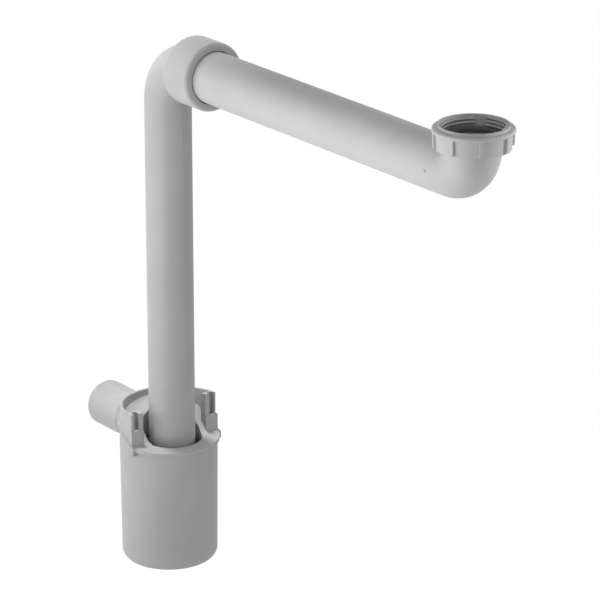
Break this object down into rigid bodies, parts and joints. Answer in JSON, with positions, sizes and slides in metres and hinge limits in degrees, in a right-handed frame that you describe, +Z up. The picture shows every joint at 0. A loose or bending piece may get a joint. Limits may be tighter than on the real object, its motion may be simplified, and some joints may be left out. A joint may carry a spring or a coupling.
{
  "type": "basin trap",
  "caption": "Space-saving basin trap: cup with outlet spigot and clipped cover, sliding dip tube with seal socket, long inlet pipe with elbow and union nut.",
  "frame": {"origin": "on the outlet spigot's axis, where its full diameter begins behind the lead", "axes": "+Z up along the dip tube, -X out of the outlet spigot, +X along the inlet pipe towards the basin waste"},
  "size_m": [0.425, 0.072, 0.3931],
  "materials": {
    "body_plastic": "satin light grey polypropylene",
    "seal_rubber": "matt dark rubber"
  },
  "bodies": {
    "trap": {"trap_cup": "body_plastic", "trap_cover": "body_plastic"},
    "dip_seal_ring": {"dip_seal": "seal_rubber"},
    "riser": {"dip_tube": "body_plastic"},
    "socket_seal_ring": {"socket_seal": "seal_rubber"},
    "inlet": {"inlet_pipe": "body_plastic", "nut_washer": "seal_rubber"},
    "nut": {"union_nut": "body_plastic"}
  },
  "joints": [
    {"name": "dip_swivel", "type": "hinge", "parent": "trap", "child": "dip_seal_ring", "pos_m": [0.08, 0, -0.0036], "axis": [0, 0, 1], "continuous": true},
    {"name": "dip_height", "type": "slide", "parent": "dip_seal_ring", "child": "riser", "axis": [0, 0, 1], "range_m": [-0.012, 0.045]},
    {"name": "arm_swivel", "type": "hinge", "parent": "riser", "child": "socket_seal_ring", "pos_m": [0.1335, 0, 0.2694], "axis": [1, 0, 0], "continuous": true},
    {"name": "arm_reach", "type": "slide", "parent": "socket_seal_ring", "child": "inlet", "axis": [1, 0, 0], "range_m": [-0.005, 0.01]},
    {"name": "nut_spin", "type": "hinge", "parent": "inlet", "child": "nut", "pos_m": [0.3986, 0, 0.2872], "axis": [0, 0, 1], "continuous": true}
  ]
}
